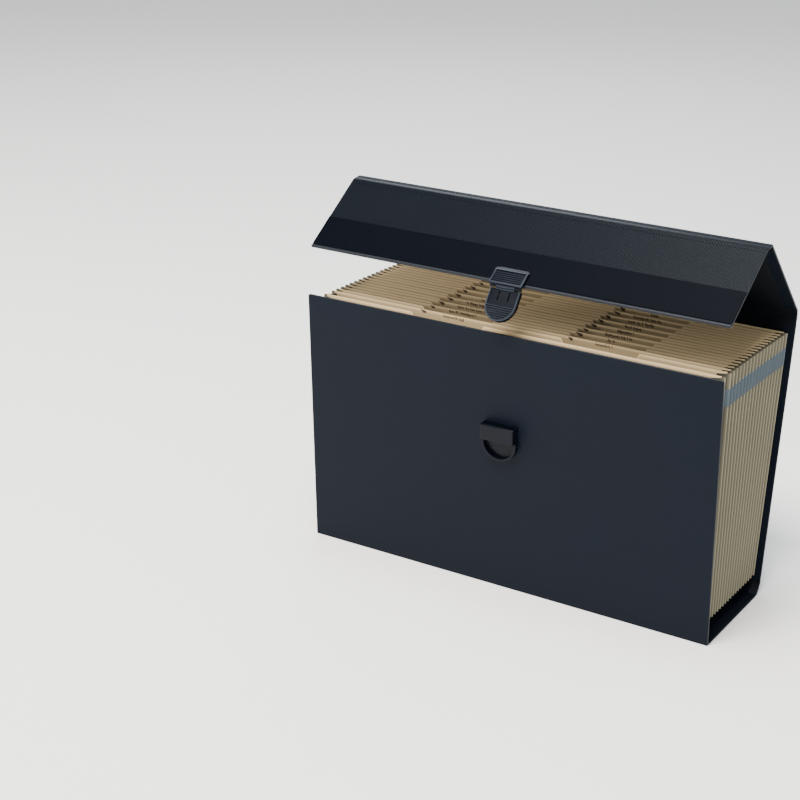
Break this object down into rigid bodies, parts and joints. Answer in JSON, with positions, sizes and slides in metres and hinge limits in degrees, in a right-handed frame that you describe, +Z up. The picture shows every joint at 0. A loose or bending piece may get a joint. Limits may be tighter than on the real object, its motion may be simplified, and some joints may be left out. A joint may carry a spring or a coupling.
{
  "type": "expanding file case",
  "caption": "Opened expanding file case: stiff black cover with creased lid and latched flap, carry handle, and a pleated insert of labelled manila pockets.",
  "frame": {"origin": "middle of the base board's underside, on the surface that the case stands on", "axes": "+X to the right seen from the front cover, +Y from front cover to back cover, +Z up"},
  "size_m": [0.418, 0.1972, 0.3503],
  "materials": {
    "cover_board": "black grained leatherette over board, slight blue sheen",
    "cover_band": "smooth black leatherette band",
    "moulded_black": "satin black moulding",
    "rivet_steel": "bright plated",
    "backing_steel": "black painted sheet",
    "manila": "uncoated manila card",
    "gusset_paper": "pleated manila paper, slightly greyer",
    "gusset_tape": "blue-grey cloth tape"
  },
  "bodies": {
    "base": {"bottom_panel": "cover_board", "rear_foot_strip": "cover_board", "pocket_leaf_03": "manila", "gusset_left": "gusset_paper", "gusset_right": "gusset_paper", "gusset_bottom": "gusset_paper", "gusset_tape_left": "gusset_tape", "gusset_tape_right": "gusset_tape"},
    "front": {"front_panel": "cover_board", "latch_keeper": "moulded_black", "keeper_backing_plate": "backing_steel", "keeper_rivets": "rivet_steel", "pocket_leaf_01": "manila"},
    "back": {"back_panel": "cover_board", "pocket_leaf_20": "manila"},
    "rear_spine": {"lid_rear_spine": "cover_board"},
    "lid": {"lid_panel": "cover_board", "lid_backing_plate": "backing_steel", "handle_base_plate": "moulded_black", "handle_rivets": "rivet_steel", "handle_pivot_pins": "rivet_steel"},
    "handle": {"carry_handle": "moulded_black"},
    "front_spine": {"lid_front_spine": "cover_board"},
    "flap": {"flap_panel": "cover_board", "flap_lip_band": "cover_band", "latch_plate": "moulded_black", "latch_backing_plate": "backing_steel", "latch_rivets": "rivet_steel", "latch_hinge_pin": "rivet_steel"},
    "tongue": {"latch_tongue": "moulded_black"},
    "leaf_02": {"pocket_leaf_02": "manila"},
    "leaf_04": {"pocket_leaf_04": "manila"},
    "leaf_05": {"pocket_leaf_05": "manila"},
    "leaf_06": {"pocket_leaf_06": "manila"},
    "leaf_07": {"pocket_leaf_07": "manila"},
    "leaf_08": {"pocket_leaf_08": "manila"},
    "leaf_09": {"pocket_leaf_09": "manila"},
    "leaf_10": {"pocket_leaf_10": "manila"},
    "leaf_11": {"pocket_leaf_11": "manila"},
    "leaf_12": {"pocket_leaf_12": "manila"},
    "leaf_13": {"pocket_leaf_13": "manila"},
    "leaf_14": {"pocket_leaf_14": "manila"},
    "leaf_15": {"pocket_leaf_15": "manila"},
    "leaf_16": {"pocket_leaf_16": "manila"},
    "leaf_17": {"pocket_leaf_17": "manila"},
    "leaf_18": {"pocket_leaf_18": "manila"},
    "leaf_19": {"pocket_leaf_19": "manila"}
  },
  "joints": [
    {"name": "lid_rear_crease", "type": "hinge", "parent": "back", "child": "rear_spine", "pos_m": [0, 0.09091, 0.25984], "axis": [-1, 0, 0], "range_deg": [-37.6, 40], "deforming": ["gusset_left", "gusset_right", "gusset_bottom", "gusset_tape_left", "gusset_tape_right"]},
    {"name": "lid_crease", "type": "hinge", "parent": "rear_spine", "child": "lid", "pos_m": [0, 0.09126, 0.26983], "axis": [-1, 0, 0], "range_deg": [0, 50]},
    {"name": "front_fold", "type": "hinge", "parent": "base", "child": "front", "pos_m": [0, -0.061, 0.001], "axis": [1, 0, 0], "range_deg": [-3.21, 3.41]},
    {"name": "back_fold", "type": "hinge", "parent": "base", "child": "back", "pos_m": [0, 0.061, 0.009], "axis": [-1, 0, 0], "range_deg": [-6.81, 7.24]},
    {"name": "flap_upper_crease", "type": "hinge", "parent": "lid", "child": "front_spine", "pos_m": [0, 0.0101, 0.34931], "axis": [-1, 0, 0], "range_deg": [-4, 39]},
    {"name": "flap_crease", "type": "hinge", "parent": "front_spine", "child": "flap", "pos_m": [0, 0.00016, 0.34817], "axis": [-1, 0, 0], "range_deg": [-4.01, 39.01]},
    {"name": "tongue_hinge", "type": "hinge", "parent": "flap", "child": "tongue", "pos_m": [0, -0.07315, 0.29683], "axis": [1, 0, 0], "range_deg": [-17, 25]},
    {"name": "handle_pivot", "type": "hinge", "parent": "lid", "child": "handle", "pos_m": [0, 0.05988, 0.31176], "axis": [1, 0, 0], "range_deg": [0, 180]},
    {"name": "leaf_02_fan", "type": "hinge", "parent": "base", "child": "leaf_02", "pos_m": [0, -0.05161, 0.017], "axis": [1, 0, 0], "range_deg": [-1.61, 1.71]},
    {"name": "leaf_04_fan", "type": "hinge", "parent": "base", "child": "leaf_04", "pos_m": [0, -0.03943, 0.017], "axis": [-1, 0, 0], "range_deg": [-0.41, 0.4355]},
    {"name": "leaf_05_fan", "type": "hinge", "parent": "base", "child": "leaf_05", "pos_m": [0, -0.03334, 0.017], "axis": [-1, 0, 0], "range_deg": [-0.81, 0.86]},
    {"name": "leaf_06_fan", "type": "hinge", "parent": "base", "child": "leaf_06", "pos_m": [0, -0.02725, 0.017], "axis": [-1, 0, 0], "range_deg": [-1.21, 1.29]},
    {"name": "leaf_07_fan", "type": "hinge", "parent": "base", "child": "leaf_07", "pos_m": [0, -0.02116, 0.017], "axis": [-1, 0, 0], "range_deg": [-1.61, 1.71]},
    {"name": "leaf_08_fan", "type": "hinge", "parent": "base", "child": "leaf_08", "pos_m": [0, -0.01507, 0.017], "axis": [-1, 0, 0], "range_deg": [-2.01, 2.14]},
    {"name": "leaf_09_fan", "type": "hinge", "parent": "base", "child": "leaf_09", "pos_m": [0, -0.00898, 0.017], "axis": [-1, 0, 0], "range_deg": [-2.41, 2.56]},
    {"name": "leaf_10_fan", "type": "hinge", "parent": "base", "child": "leaf_10", "pos_m": [0, -0.0029, 0.017], "axis": [-1, 0, 0], "range_deg": [-2.81, 2.99]},
    {"name": "leaf_11_fan", "type": "hinge", "parent": "base", "child": "leaf_11", "pos_m": [0, 0.00319, 0.017], "axis": [-1, 0, 0], "range_deg": [-3.21, 3.41]},
    {"name": "leaf_12_fan", "type": "hinge", "parent": "base", "child": "leaf_12", "pos_m": [0, 0.00928, 0.017], "axis": [-1, 0, 0], "range_deg": [-3.61, 3.84]},
    {"name": "leaf_13_fan", "type": "hinge", "parent": "base", "child": "leaf_13", "pos_m": [0, 0.01537, 0.017], "axis": [-1, 0, 0], "range_deg": [-4.01, 4.27]},
    {"name": "leaf_14_fan", "type": "hinge", "parent": "base", "child": "leaf_14", "pos_m": [0, 0.02146, 0.017], "axis": [-1, 0, 0], "range_deg": [-4.41, 4.69]},
    {"name": "leaf_15_fan", "type": "hinge", "parent": "base", "child": "leaf_15", "pos_m": [0, 0.02755, 0.017], "axis": [-1, 0, 0], "range_deg": [-4.81, 5.12]},
    {"name": "leaf_16_fan", "type": "hinge", "parent": "base", "child": "leaf_16", "pos_m": [0, 0.03364, 0.017], "axis": [-1, 0, 0], "range_deg": [-5.21, 5.54]},
    {"name": "leaf_17_fan", "type": "hinge", "parent": "base", "child": "leaf_17", "pos_m": [0, 0.03973, 0.017], "axis": [-1, 0, 0], "range_deg": [-5.61, 5.97]},
    {"name": "leaf_18_fan", "type": "hinge", "parent": "base", "child": "leaf_18", "pos_m": [0, 0.04582, 0.017], "axis": [-1, 0, 0], "range_deg": [-6.01, 6.39]},
    {"name": "leaf_19_fan", "type": "hinge", "parent": "base", "child": "leaf_19", "pos_m": [0, 0.05191, 0.017], "axis": [-1, 0, 0], "range_deg": [-6.41, 6.82]}
  ],
  "couplings": [
    {"joint": "front_fold", "follows": "lid_rear_crease", "ratio": 0.085106},
    {"joint": "back_fold", "follows": "lid_rear_crease", "ratio": 0.18085},
    {"joint": "flap_crease", "follows": "flap_upper_crease", "ratio": 1},
    {"joint": "leaf_02_fan", "follows": "lid_rear_crease", "ratio": 0.042553},
    {"joint": "leaf_04_fan", "follows": "lid_rear_crease", "ratio": 0.010638},
    {"joint": "leaf_05_fan", "follows": "lid_rear_crease", "ratio": 0.021277},
    {"joint": "leaf_06_fan", "follows": "lid_rear_crease", "ratio": 0.031915},
    {"joint": "leaf_07_fan", "follows": "lid_rear_crease", "ratio": 0.042553},
    {"joint": "leaf_08_fan", "follows": "lid_rear_crease", "ratio": 0.053191},
    {"joint": "leaf_09_fan", "follows": "lid_rear_crease", "ratio": 0.06383},
    {"joint": "leaf_10_fan", "follows": "lid_rear_crease", "ratio": 0.074468},
    {"joint": "leaf_11_fan", "follows": "lid_rear_crease", "ratio": 0.085106},
    {"joint": "leaf_12_fan", "follows": "lid_rear_crease", "ratio": 0.095745},
    {"joint": "leaf_13_fan", "follows": "lid_rear_crease", "ratio": 0.10638},
    {"joint": "leaf_14_fan", "follows": "lid_rear_crease", "ratio": 0.11702},
    {"joint": "leaf_15_fan", "follows": "lid_rear_crease", "ratio": 0.12766},
    {"joint": "leaf_16_fan", "follows": "lid_rear_crease", "ratio": 0.1383},
    {"joint": "leaf_17_fan", "follows": "lid_rear_crease", "ratio": 0.14894},
    {"joint": "leaf_18_fan", "follows": "lid_rear_crease", "ratio": 0.15957},
    {"joint": "leaf_19_fan", "follows": "lid_rear_crease", "ratio": 0.17021}
  ]
}
